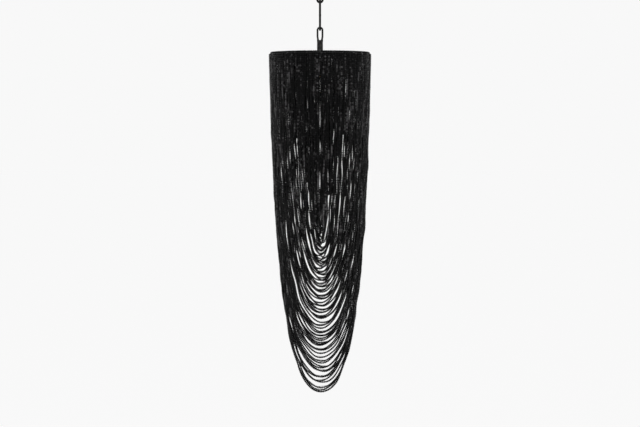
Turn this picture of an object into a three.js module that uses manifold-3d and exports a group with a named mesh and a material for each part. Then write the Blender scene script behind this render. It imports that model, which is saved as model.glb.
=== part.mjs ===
// A beaded chandelier: a ceiling rose, a short chain, a lamp on a four-armed spider, and a ring from
// which two sets of black bead strands hang in deep loops. The long strands span the ring from left to
// right and hang lowest in the middle; the cross strands hang inside them from front to back.
// Millimetres, +Z up, with the origin at the centre of the face that lies against the ceiling.
import * as THREE from "three";
import { mergeVertices } from "three/addons/utils/BufferGeometryUtils.js";
import Module from "manifold-3d";

// Clearances
const seatGap = 0.3;
const overrun = 2;

// Ceiling rose: cover, ceiling plate, bridge and terminal block
const roseDiameter = 110;
const roseHeight = 36;
const roseWall = 1.6;
const roseCorner = 10;
const plateDiameter = 96;
const plateThickness = 3;
const plateCableHole = 14;
const plateCableHoleOffset = 27;
const plateSlotWidth = 5;
const plateSlotLength = 14;
const plateSlotOffset = 36;
const bridgeWidth = 18;
const bridgeThickness = 2.5;
const bridgeSpan = 70;
const bridgeFoot = 14;
const bridgeDrop = 14;
const bridgeScrewDiameter = 4;
const bridgeScrewHead = 7.5;
const bridgeScrewHeadHeight = 2.6;
const terminalLength = 32;
const terminalDepth = 15;
const terminalHeight = 13;
const terminalBevel = 1.2;
const terminalOffset = 27;
const terminalPoles = 3;
const terminalScrewDiameter = 4.6;
const terminalScrewHeight = 2;

// Threaded tube, nuts and collar loops that carry the chain
const tubeDiameter = 10;
const tubeBore = 7;
const tubeEndInCollar = 17.5;
const tubeEndPastSeat = 2;
const nutAcrossFlats = 14;
const nutHeight = 4;
const collarDiameter = 17.4;
const collarHeight = 41;
const collarTopWall = 6;
const roseCollarHeight = 24;
const collarEdge = 1.2;
const loopWire = 5.5;
const loopFootSpacing = 11.8;
const loopFootDepth = 4;
const loopHeight = 39;
const loopBulgeShare = 0.4;

// Chain
const linkWire = 6.5;
const linkInnerWidth = 9;
const linkInnerLength = 80;
const linkCount = 4;
const linkWeldDiameter = 7.5;
const linkWeldLength = 3.4;
const linkJointGap = 0.6;

// Ring and spider
const shadeDiameter = 300;
const ringBarDiameter = 8;
const hubDiameter = 36;
const hubThickness = 6;
const hubEdge = 1;
const armDiameter = 5;
const armHeaderGap = 0.6;

// Bead strands and the bead headers they hang from
const beadDiameter = 5.2;
const strandSolidDiameter = 4.6;
const headerThickness = 5.4;
const longHeaderElevation = THREE.MathUtils.degToRad(70);
const crossHeaderElevation = THREE.MathUtils.degToRad(40);
const longSag = 1018;
const longEdgeSag = 504;
const longSagCurve = 0.75;
const crossSag = 516;
const crossEdgeSag = 34;
const longGroups = 6;
const crossGroups = 4;
const crossGroupsInsideArms = 3;
const bundleShare = 0.94;
const leanShare = 0.2;
const sagSpreadShare = 0.0125;
const fullnessShare = 0.15;
const backStrandShares = [-0.2, -0.6, -0.1, -0.4, 0.4, 0.1, 0.8];
const backGroupShares = [0, 0.3, -0.3, 0.4, -0.2, 0.1];
const frontStrandShares = [-0.8, -0.3, -0.7, 0.2, 0, 0.6, 0.5];
const frontGroupShares = [0.1, -0.4, 0.2, -0.3, 0.3, -0.1];
const crossStrandShares = [0.6, -0.5, 0.3, -0.8, 0.1, -0.2];
const longSpanShares = [0, 0.3, 0.6, 0.84, 1];
const crossSpanShares = [0, 0.34, 0.7, 1];

// Lampholder
const holderCapHeight = 20;
const holderCapSkirt = 9;
const holderCapNeck = 9;
const holderCapWall = 2.4;
const holderDiameter = 38;
const holderBarrelHeight = 32;
const holderBarrelWall = 2.7;
const holderFlangeDiameter = 42;
const holderFlangeHeight = 4;
const holderInsertHeight = 8;
const holderInsertSeat = 0.6;
const screwShellDiameter = 28.4;
const screwShellWall = 0.6;
const screwShellHeight = 21;
const contactWidth = 6;
const contactHeight = 3;
const shadeRingHeight = 6;
const shadeRingDiameter = 45;

// Bulb
const bulbDiameter = 60;
const bulbLength = 108;
const bulbNeck = 24;
const bulbGlassWall = 1;
const bulbCapDiameter = 26.2;
const bulbCapWall = 0.7;
const bulbCapHeight = 22;
const bulbCapShoulder = 4;
const bulbTipDiameter = 9.6;
const bulbTipHeight = 1.8;
const bulbCapOverGlass = 4;
const stemFlangeHeight = 1.6;
const stemConeHeight = 3.2;
const stemDiameter = 7;
const stemLength = 34;
const filamentWire = 1.8;
const filamentRadius = 11;
const filamentDrop = 17;
const filamentBends = 8;

// Facets of round pieces
const roundSides = 20;
const smallSides = 8;
const tubeSides = 16;
const roseSides = 28;
const wireSides = 6;
const barSides = 6;
const filamentSides = 5;
const strandSides = 3;
const barSteps = 60;
const headerStep = THREE.MathUtils.degToRad(6);
const cornerSteps = 4;
const bendSteps = 8;
const globeSteps = 8;
const globeSweep = THREE.MathUtils.degToRad(120);
const catenaryPasses = 60;
const flattestTurn = 1e-3;
const steepestTurn = 20;

const wasm = await Module();
wasm.setup();

const finishes = {
  bead: new THREE.MeshStandardMaterial({ color: 0x0d0d0e, roughness: 0.35, metalness: 0 }),
  blackMetal: new THREE.MeshStandardMaterial({ color: 0x1b1b1c, roughness: 0.45, metalness: 0.6 }),
  steel: new THREE.MeshStandardMaterial({ color: 0x9a9b9d, roughness: 0.35, metalness: 1 }),
  phenolic: new THREE.MeshStandardMaterial({ color: 0x161514, roughness: 0.4, metalness: 0 }),
  ceramic: new THREE.MeshStandardMaterial({ color: 0xe9e6df, roughness: 0.5, metalness: 0 }),
  brass: new THREE.MeshStandardMaterial({ color: 0xb58a3c, roughness: 0.3, metalness: 1 }),
  glass: new THREE.MeshStandardMaterial({
    color: 0xf4f1ea,
    roughness: 0.05,
    transparent: true,
    opacity: 0.35,
  }),
  filament: new THREE.MeshStandardMaterial({ color: 0xe8b64c, roughness: 0.6, metalness: 0 }),
  terminal: new THREE.MeshStandardMaterial({ color: 0xe4e3de, roughness: 0.5, metalness: 0 }),
};

const chandelier = new THREE.Group();

// Adds one named piece to the chandelier.
function addPiece(name, geometry, material) {
  const mesh = new THREE.Mesh(geometry, material);
  mesh.name = name;
  chandelier.add(mesh);
  return mesh;
}

// A closed geometry as a solid that can be joined and cut.
function toSolid(geometry) {
  const bare = geometry.clone();
  bare.deleteAttribute("normal");
  bare.deleteAttribute("uv");
  const merged = mergeVertices(bare);
  const triVerts = new Uint32Array(merged.index.array);
  const vertProperties = merged.attributes.position.array;
  return new wasm.Manifold(new wasm.Mesh({ numProp: 3, vertProperties, triVerts }));
}

// A solid as a geometry again.
function toGeometry(solid) {
  const mesh = solid.getMesh();
  const geometry = new THREE.BufferGeometry();
  geometry.setAttribute("position", new THREE.BufferAttribute(mesh.vertProperties, mesh.numProp));
  geometry.setIndex(new THREE.BufferAttribute(mesh.triVerts, 1));
  const flat = geometry.toNonIndexed();
  flat.computeVertexNormals();
  return flat;
}

function join(geometries) {
  const solids = geometries.map(toSolid);
  return toGeometry(solids.reduce((all, next) => all.add(next)));
}

function cut(base, tools) {
  return toGeometry(tools.map(toSolid).reduce((left, tool) => left.subtract(tool), toSolid(base)));
}

// A curve that is sampled at its own points, so a bend gets its steps where it bends.
class PointRoute extends THREE.Curve {
  constructor(points) {
    super();
    this.points = points;
    this.last = points.length - 1;
  }

  getPoint(share, target = new THREE.Vector3()) {
    const place = share * this.last;
    const index = Math.min(Math.floor(place), this.last - 1);
    return target.lerpVectors(this.points[index], this.points[index + 1], place - index);
  }

  getPointAt(share, target) {
    return this.getPoint(share, target);
  }

  getTangent(share, target = new THREE.Vector3()) {
    const index = Math.round(share * this.last);
    const back = this.points[index].clone().sub(this.points[Math.max(index - 1, 0)]).normalize();
    const ahead = this.points[Math.min(index + 1, this.last)].clone().sub(this.points[index]).normalize();
    return target.addVectors(back, ahead).normalize();
  }

  getTangentAt(share, target) {
    return this.getTangent(share, target);
  }
}

// A regular section of a rod or tube.
function roundSection(diameter, sides) {
  const points = [];
  for (let side = 0; side < sides; side += 1) {
    const angle = (2 * Math.PI * side) / sides;
    points.push(new THREE.Vector2(Math.cos(angle), Math.sin(angle)).multiplyScalar(diameter / 2));
  }
  return new THREE.Shape(points);
}

// A section swept along a list of points, with a ring of the section at each point.
function sweep(points, section) {
  return new THREE.ExtrudeGeometry(section, {
    steps: points.length - 1,
    extrudePath: new PointRoute(points),
    bevelEnabled: false,
  });
}

// A profile of [radius, height] pairs turned about +Z.
function turned(profile, sides = roundSides) {
  const points = profile.map(([radius, height]) => new THREE.Vector2(radius, height));
  return new THREE.LatheGeometry(points, sides).rotateX(Math.PI / 2);
}

// A ring-shaped wall between two radii and two heights.
function sleeve(innerRadius, outerRadius, low, high, sides = roundSides) {
  return turned(
    [
      [innerRadius, low],
      [outerRadius, low],
      [outerRadius, high],
      [innerRadius, high],
      [innerRadius, low],
    ],
    sides,
  );
}

// An upright round bar between two heights.
function upright(radius, low, high, sides = smallSides) {
  return turned(
    [
      [0, low],
      [radius, low],
      [radius, high],
      [0, high],
    ],
    sides,
  );
}

// A box given by its middle and its full sizes.
function block(width, depth, height, x, y, z) {
  return new THREE.BoxGeometry(width, depth, height).translate(x, y, z);
}

// A hexagon nut with a plain bore.
function hexagonNut(low) {
  const prism = upright(nutAcrossFlats / Math.sqrt(3), low, low + nutHeight, 6);
  const bore = upright(tubeDiameter / 2 + seatGap, low - overrun, low + nutHeight + overrun, roundSides);
  return cut(prism, [bore]);
}

// Heights from the ceiling down
const coverBottom = -roseHeight;
const roseCollarTop = coverBottom - seatGap;
const roseCollarBottom = roseCollarTop - roseCollarHeight;
const roseLoopWireZ = roseCollarBottom - loopHeight + loopWire / 2;
const wireStep = (loopWire + linkWire) / 2 + seatGap;
const linkHalf = linkInnerLength / 2 + linkWire / 2;
const linkPitch = 2 * linkHalf - linkWire - seatGap;
const firstLinkZ = roseLoopWireZ + wireStep - linkHalf;
const lastLinkZ = firstLinkZ - (linkCount - 1) * linkPitch;
const loopWireZ = lastLinkZ - linkHalf + wireStep;
const collarTopZ = loopWireZ + loopWire / 2 - loopHeight;
const collarBottomZ = collarTopZ - collarHeight;
const hubTopZ = collarBottomZ - seatGap;
const ringZ = hubTopZ - hubThickness / 2;
const hubBottomZ = hubTopZ - hubThickness;

// Radii of the ring bar and of what lies round it
const wrapRadius = ringBarDiameter / 2 + seatGap + headerThickness / 2;
const barRadius = shadeDiameter / 2 - beadDiameter / 2 - wrapRadius;

function addRose() {
  const outer = roseDiameter / 2;
  const hole = tubeDiameter / 2 + seatGap;
  const profile = [[hole, coverBottom]];
  const cornerAngle = (step) => (step * Math.PI) / (2 * cornerSteps);
  for (let step = 0; step <= cornerSteps; step += 1) {
    const angle = cornerAngle(step);
    profile.push([
      outer - roseCorner + roseCorner * Math.sin(angle),
      coverBottom + roseCorner - roseCorner * Math.cos(angle),
    ]);
  }
  profile.push([outer, 0]);
  profile.push([outer - roseWall, 0]);
  const innerCorner = roseCorner - roseWall;
  for (let step = cornerSteps; step >= 0; step -= 1) {
    const angle = cornerAngle(step);
    profile.push([
      outer - roseCorner + innerCorner * Math.sin(angle),
      coverBottom + roseCorner - innerCorner * Math.cos(angle),
    ]);
  }
  profile.push([hole, coverBottom + roseWall]);
  profile.push([hole, coverBottom]);
  addPiece("rose_cover", turned(profile, roseSides), finishes.blackMetal);

  const disc = upright(plateDiameter / 2, -plateThickness, 0, roundSides);
  const through = (radius) => upright(radius, -plateThickness - overrun, overrun, smallSides);
  const screwPlace = bridgeSpan / 2 - bridgeFoot / 2;
  const plateHoles = [through(plateCableHole / 2).translate(0, plateCableHoleOffset, 0)];
  const slotPlace = plateSlotOffset / Math.SQRT2;
  for (const side of [-1, 1]) {
    const slotHeight = plateThickness + 2 * overrun;
    plateHoles.push(
      block(plateSlotLength, plateSlotWidth, slotHeight, side * slotPlace, -slotPlace, -plateThickness / 2),
      through(bridgeScrewDiameter / 2 + seatGap).translate(side * screwPlace, 0, 0),
    );
  }
  addPiece("ceiling_plate", cut(disc, plateHoles), finishes.steel);

  // The bridge is a strip bent down between two feet that lie under the plate.
  const footTop = -plateThickness - seatGap;
  const middleTop = footTop - bridgeDrop;
  const half = bridgeSpan / 2;
  const kneeIn = half - bridgeFoot;
  const slope = bridgeThickness;
  const side = new THREE.Shape([
    new THREE.Vector2(-half, footTop),
    new THREE.Vector2(-half, footTop - bridgeThickness),
    new THREE.Vector2(-kneeIn - slope, footTop - bridgeThickness),
    new THREE.Vector2(-kneeIn, middleTop - bridgeThickness),
    new THREE.Vector2(kneeIn, middleTop - bridgeThickness),
    new THREE.Vector2(kneeIn + slope, footTop - bridgeThickness),
    new THREE.Vector2(half, footTop - bridgeThickness),
    new THREE.Vector2(half, footTop),
    new THREE.Vector2(kneeIn, footTop),
    new THREE.Vector2(kneeIn - slope, middleTop),
    new THREE.Vector2(-kneeIn + slope, middleTop),
    new THREE.Vector2(-kneeIn, footTop),
  ]);
  const strip = new THREE.ExtrudeGeometry(side, { depth: bridgeWidth, bevelEnabled: false })
    .translate(0, 0, -bridgeWidth / 2)
    .rotateX(Math.PI / 2);
  const screwHole = upright(
    bridgeScrewDiameter / 2 + seatGap,
    footTop - bridgeThickness - overrun,
    footTop + overrun,
  );
  const tubeHole = upright(
    tubeDiameter / 2 + seatGap,
    middleTop - bridgeThickness - overrun,
    middleTop + overrun,
    roundSides,
  );
  const screwHoles = [-1, 1].map((turn) => screwHole.clone().translate(turn * screwPlace, 0, 0));
  addPiece("rose_bridge", cut(strip, [...screwHoles, tubeHole]), finishes.steel);

  const headTop = footTop - bridgeThickness - seatGap;
  const screw = turned(
    [
      [0, headTop - bridgeScrewHeadHeight],
      [bridgeScrewHead / 2, headTop - bridgeScrewHeadHeight],
      [bridgeScrewHead / 2, headTop],
      [bridgeScrewDiameter / 2, headTop],
      [bridgeScrewDiameter / 2, -seatGap],
      [0, -seatGap],
    ],
    smallSides,
  );
  addPiece("bridge_screw_left", screw.clone().translate(-screwPlace, 0, 0), finishes.steel);
  addPiece("bridge_screw_right", screw.clone().translate(screwPlace, 0, 0), finishes.steel);

  const upperNutLow = middleTop + seatGap;
  const lowerNutLow = middleTop - bridgeThickness - seatGap - nutHeight;
  addPiece("rose_nut_upper", hexagonNut(upperNutLow), finishes.steel);
  addPiece("rose_nut_lower", hexagonNut(lowerNutLow), finishes.steel);
  const roseTubeTop = upperNutLow + nutHeight + tubeEndPastSeat;
  addPiece(
    "rose_threaded_tube",
    sleeve(tubeBore / 2, tubeDiameter / 2, roseCollarTop - tubeEndInCollar, roseTubeTop, tubeSides),
    finishes.steel,
  );

  const terminalTop = -plateThickness - seatGap;
  const terminalZ = terminalTop - terminalHeight / 2;
  const bevelled = new THREE.Shape();
  const halfDepth = terminalDepth / 2;
  const halfHeight = terminalHeight / 2;
  bevelled.moveTo(-halfDepth, halfHeight);
  bevelled.lineTo(-halfDepth, -halfHeight + terminalBevel);
  bevelled.lineTo(-halfDepth + terminalBevel, -halfHeight);
  bevelled.lineTo(halfDepth - terminalBevel, -halfHeight);
  bevelled.lineTo(halfDepth, -halfHeight + terminalBevel);
  bevelled.lineTo(halfDepth, halfHeight);
  bevelled.closePath();
  const body = new THREE.ExtrudeGeometry(bevelled, { depth: terminalLength, bevelEnabled: false })
    .translate(0, 0, -terminalLength / 2)
    .rotateX(Math.PI / 2)
    .rotateZ(Math.PI / 2)
    .translate(0, -terminalOffset, terminalZ);
  const poleStep = terminalLength / terminalPoles;
  const wellTop = terminalTop - terminalHeight + terminalScrewHeight + seatGap;
  const headRadius = terminalScrewDiameter / 2;
  const wells = [];
  for (let pole = 0; pole < terminalPoles; pole += 1) {
    const x = (pole - (terminalPoles - 1) / 2) * poleStep;
    const well = upright(headRadius + seatGap, wellTop - terminalScrewHeight - overrun, wellTop);
    wells.push(well.translate(x, -terminalOffset, 0));
    const head = upright(headRadius, wellTop - seatGap - terminalScrewHeight, wellTop - seatGap);
    addPiece(`terminal_screw_${pole + 1}`, head.translate(x, -terminalOffset, 0), finishes.brass);
  }
  addPiece("terminal_block", cut(body, wells), finishes.terminal);
}

// A collar with a wire loop that stands on it. It is built upright on height 0, with the loop in XZ.
function collarLoop(height) {
  const collarRadius = collarDiameter / 2;
  const collar = turned(
    [
      [tubeBore / 2, height - collarTopWall],
      [tubeBore / 2, height],
      [collarRadius - collarEdge, height],
      [collarRadius, height - collarEdge],
      [collarRadius, collarEdge],
      [collarRadius - collarEdge, 0],
      [tubeDiameter / 2 + seatGap, 0],
      [tubeDiameter / 2 + seatGap, height - collarTopWall],
      [tubeBore / 2, height - collarTopWall],
    ].reverse(),
  );
  const bendRadius = linkInnerWidth / 2 + loopWire / 2;
  const arcZ = height + loopHeight - loopWire / 2 - bendRadius;
  const foot = loopFootSpacing / 2;
  const right = [new THREE.Vector3(foot, 0, height - loopFootDepth), new THREE.Vector3(foot, 0, height)];
  const bulgeLow = height + (arcZ - height) * loopBulgeShare;
  right.push(new THREE.Vector3(bendRadius, 0, bulgeLow));
  right.push(new THREE.Vector3(bendRadius, 0, arcZ));
  for (let step = 1; step < bendSteps / 2; step += 1) {
    const angle = (step * Math.PI) / bendSteps;
    right.push(new THREE.Vector3(bendRadius * Math.cos(angle), 0, arcZ + bendRadius * Math.sin(angle)));
  }
  const top = new THREE.Vector3(0, 0, arcZ + bendRadius);
  const left = right.map((point) => new THREE.Vector3(-point.x, 0, point.z)).reverse();
  return join([collar, sweep([...right, top, ...left], roundSection(loopWire, wireSides))]);
}

// A chain link in the XZ plane, bent from one wire whose ends meet in a weld at the middle of a side.
function chainLink() {
  const bendRadius = linkInnerWidth / 2 + linkWire / 2;
  const arcZ = linkInnerLength / 2 - linkInnerWidth / 2;
  const points = [new THREE.Vector3(bendRadius, 0, linkJointGap / 2)];
  for (let step = 0; step <= bendSteps; step += 1) {
    const angle = (step * Math.PI) / bendSteps;
    points.push(new THREE.Vector3(bendRadius * Math.cos(angle), 0, arcZ + bendRadius * Math.sin(angle)));
  }
  for (let step = 0; step <= bendSteps; step += 1) {
    const angle = Math.PI + (step * Math.PI) / bendSteps;
    points.push(new THREE.Vector3(bendRadius * Math.cos(angle), 0, -arcZ + bendRadius * Math.sin(angle)));
  }
  points.push(new THREE.Vector3(bendRadius, 0, -linkJointGap / 2));
  const weld = upright(linkWeldDiameter / 2, -linkWeldLength / 2, linkWeldLength / 2);
  return join([sweep(points, roundSection(linkWire, wireSides)), weld.translate(bendRadius, 0, 0)]);
}

function addChain() {
  const roseLoop = collarLoop(roseCollarHeight).rotateX(Math.PI).rotateZ(Math.PI / 2);
  addPiece("rose_loop", roseLoop.translate(0, 0, roseCollarTop), finishes.blackMetal);
  for (let index = 0; index < linkCount; index += 1) {
    const link = addPiece(`chain_link_${index + 1}`, chainLink(), finishes.blackMetal);
    link.position.z = firstLinkZ - index * linkPitch;
    link.rotation.z = index % 2 ? Math.PI / 2 : 0;
  }
  addPiece("pendant_loop", collarLoop(collarHeight).translate(0, 0, collarBottomZ), finishes.blackMetal);
}

function addFrame() {
  const hubRadius = hubDiameter / 2;
  const hole = tubeDiameter / 2 + seatGap;
  const hub = turned(
    [
      [hole, hubBottomZ],
      [hubRadius - hubEdge, hubBottomZ],
      [hubRadius, hubBottomZ + hubEdge],
      [hubRadius, hubTopZ - hubEdge],
      [hubRadius - hubEdge, hubTopZ],
      [hole, hubTopZ],
      [hole, hubBottomZ],
    ],
  );
  addPiece("spider_hub", hub, finishes.blackMetal);
  const inner = hubRadius + seatGap;
  const outer = barRadius - ringBarDiameter / 2 - seatGap;
  ["back_right", "back_left", "front_left", "front_right"].forEach((side, turn) => {
    const rod = upright(armDiameter / 2, inner, outer).rotateY(Math.PI / 2);
    const arm = addPiece(`spider_arm_${side}`, rod, finishes.blackMetal);
    arm.position.z = ringZ;
    arm.rotation.z = Math.PI / 4 + (turn * Math.PI) / 2;
  });
  const bar = new THREE.TorusGeometry(barRadius, ringBarDiameter / 2, barSides, barSteps);
  addPiece("ring_bar", bar.translate(0, 0, ringZ), finishes.blackMetal);
  const nutLow = hubBottomZ - seatGap - nutHeight;
  addPiece("hub_nut", hexagonNut(nutLow), finishes.steel);
  const tubeLow = nutLow - seatGap - holderCapWall - tubeEndPastSeat;
  const tubeHigh = collarBottomZ + tubeEndInCollar;
  addPiece(
    "pendant_threaded_tube",
    sleeve(tubeBore / 2, tubeDiameter / 2, tubeLow, tubeHigh, tubeSides),
    finishes.steel,
  );
  return nutLow;
}

// The scale of the catenary that hangs by a sag between two ends, half a span from its middle each.
function catenaryScale(halfSpan, sag) {
  let low = flattestTurn;
  let high = steepestTurn;
  for (let pass = 0; pass < catenaryPasses; pass += 1) {
    const turn = (low + high) / 2;
    if ((Math.cosh(turn) - 1) / turn < sag / halfSpan) {
      low = turn;
    } else {
      high = turn;
    }
  }
  return halfSpan / high;
}

// Strands of the long set span X and lie over the outside of the bar. Those of the cross set span Y and lie
// over its inside. A turn is measured from where a set's span axis meets the ring.
const longSet = {
  spanAxis: "x",
  side: 1,
  elevation: longHeaderElevation,
  bendShares: [0.5],
  spanShares: longSpanShares,
};
const crossSet = {
  spanAxis: "y",
  side: -1,
  elevation: crossHeaderElevation,
  bendShares: [],
  spanShares: crossSpanShares,
};

const ringAngle = (turn, set) => (set === longSet ? turn : Math.PI / 2 - turn);

// A point round the ring bar, at an angle along the ring and at a lift round the bar.
function onWrap(angle, lift, side) {
  const radius = barRadius + side * wrapRadius * Math.cos(lift);
  const height = ringZ + wrapRadius * Math.sin(lift);
  return new THREE.Vector3(radius * Math.cos(angle), radius * Math.sin(angle), height);
}

// The points of one strand: from its header over the ring bar, down through its loop and up to the far
// header. Its stiffness makes the loop a little fuller than a free catenary.
function strandPoints({ near, far, sag }, set) {
  const endAt = (turn) => {
    const angle = ringAngle(turn, set);
    const span = onWrap(angle, 0, set.side)[set.spanAxis];
    const leaving = Math.PI / 2 - Math.atan(Math.sinh(span / catenaryScale(span, sag)));
    const liftAt = (share) => THREE.MathUtils.lerp(set.elevation, leaving, share);
    return [0, ...set.bendShares, 1].map((share) => onWrap(angle, liftAt(share), set.side));
  };
  const nearWrap = endAt(near);
  const farWrap = endAt(far).reverse();
  for (const point of farWrap) {
    point[set.spanAxis] *= -1;
  }
  const start = nearWrap.pop();
  const finish = farWrap.shift();
  const middle = start.clone().add(finish).divideScalar(2);
  const reach = start.clone().sub(middle);
  const halfSpan = reach[set.spanAxis];
  const depth = sag + middle.z - ringZ;
  const scale = catenaryScale(halfSpan, depth);
  const place = (share) => {
    const fuller = share + fullnessShare * share ** 3 * (1 - share ** 2);
    const point = middle.clone().addScaledVector(reach, fuller);
    point.z += scale * (Math.cosh((halfSpan * share) / scale) - 1) - depth;
    return point;
  };
  const falling = [...set.spanShares].reverse().map(place);
  const rising = set.spanShares.slice(1).map((share) => place(-share));
  return [...nearWrap, ...falling, ...rising, ...farWrap];
}

// A stretch of the header that runs along the ring between two angles.
function headerArc(fromAngle, toAngle, set) {
  const steps = Math.max(1, Math.ceil((toAngle - fromAngle) / headerStep));
  const points = [];
  for (let step = 0; step <= steps; step += 1) {
    points.push(onWrap(fromAngle + ((toAngle - fromAngle) * step) / steps, set.elevation, set.side));
  }
  const corners = [];
  for (let corner = 0; corner < 4; corner += 1) {
    const angle = (corner * Math.PI) / 2 + Math.PI / 4 - set.elevation;
    const reach = headerThickness / Math.SQRT2;
    corners.push(new THREE.Vector2(reach * Math.cos(angle), reach * Math.sin(angle) * set.side));
  }
  return sweep(points, new THREE.Shape(corners));
}

// One group of neighbouring strands, bundled on an arc of the ring, with the header at each of its two ends.
function strandGroup(from, to, set, strandShares, sagAt) {
  const section = roundSection(strandSolidDiameter, strandSides);
  const step = (to - from) / strandShares.length;
  const pieces = strandShares.map((share, index) => {
    const turn = (from + to) / 2 + (index + 0.5 - strandShares.length / 2) * step * bundleShare;
    const lean = leanShare * step;
    const sag = sagAt(turn) * (1 + sagSpreadShare * share);
    return sweep(strandPoints({ near: turn + lean, far: turn - lean, sag }, set), section);
  });
  const headerRadius = barRadius + set.side * wrapRadius * Math.cos(set.elevation);
  const endAngle = Math.asin(seatGap / headerRadius);
  const angles = [ringAngle(from + endAngle, set), ringAngle(to - endAngle, set)];
  const [low, high] = angles.sort((first, second) => first - second);
  const mirrored = (angle) => (set === longSet ? Math.PI - angle : -angle);
  pieces.push(headerArc(low, high, set), headerArc(mirrored(high), mirrored(low), set));
  return join(pieces);
}

function addStrands() {
  const quarter = Math.PI / 2;
  const longSagAt = (turn) => longSag - (longSag - longEdgeSag) * (turn / quarter) ** longSagCurve;
  for (let group = 0; group < longGroups; group += 1) {
    const from = (group * quarter) / longGroups;
    const to = from + quarter / longGroups;
    const addHalf = (name, strandShares, groupShare, halfTurns) => {
      const shares = strandShares.map((share) => share + groupShare);
      const strands = strandGroup(from, to, longSet, shares, longSagAt).rotateZ(halfTurns * Math.PI);
      addPiece(`${name}_${group + 1}`, strands, finishes.bead);
    };
    addHalf("long_strands_back", backStrandShares, backGroupShares[group], 0);
    addHalf("long_strands_front", frontStrandShares, frontGroupShares[group], 1);
  }

  // The cross strands leave room for the arms, which meet the ring halfway between its quarters.
  const crossHeaderRadius = barRadius - wrapRadius * Math.cos(crossHeaderElevation);
  const armAngle = Math.asin((armDiameter / 2 + armHeaderGap) / crossHeaderRadius);
  const crossArc = (quarter / 2 - armAngle) / crossGroupsInsideArms;
  const pastArm = (group) => (group < crossGroupsInsideArms ? 0 : 2 * armAngle);
  const crossReach = Math.sin(crossGroups * crossArc + 2 * armAngle);
  const crossSagAt = (turn) => crossSag - ((crossSag - crossEdgeSag) * Math.sin(turn)) / crossReach;
  for (let group = 0; group < crossGroups; group += 1) {
    const from = group * crossArc + pastArm(group);
    const strands = strandGroup(from, from + crossArc, crossSet, crossStrandShares, crossSagAt);
    addPiece(`cross_strands_right_${group + 1}`, strands.clone(), finishes.bead);
    addPiece(`cross_strands_left_${group + 1}`, strands.rotateZ(Math.PI), finishes.bead);
  }
}

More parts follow.
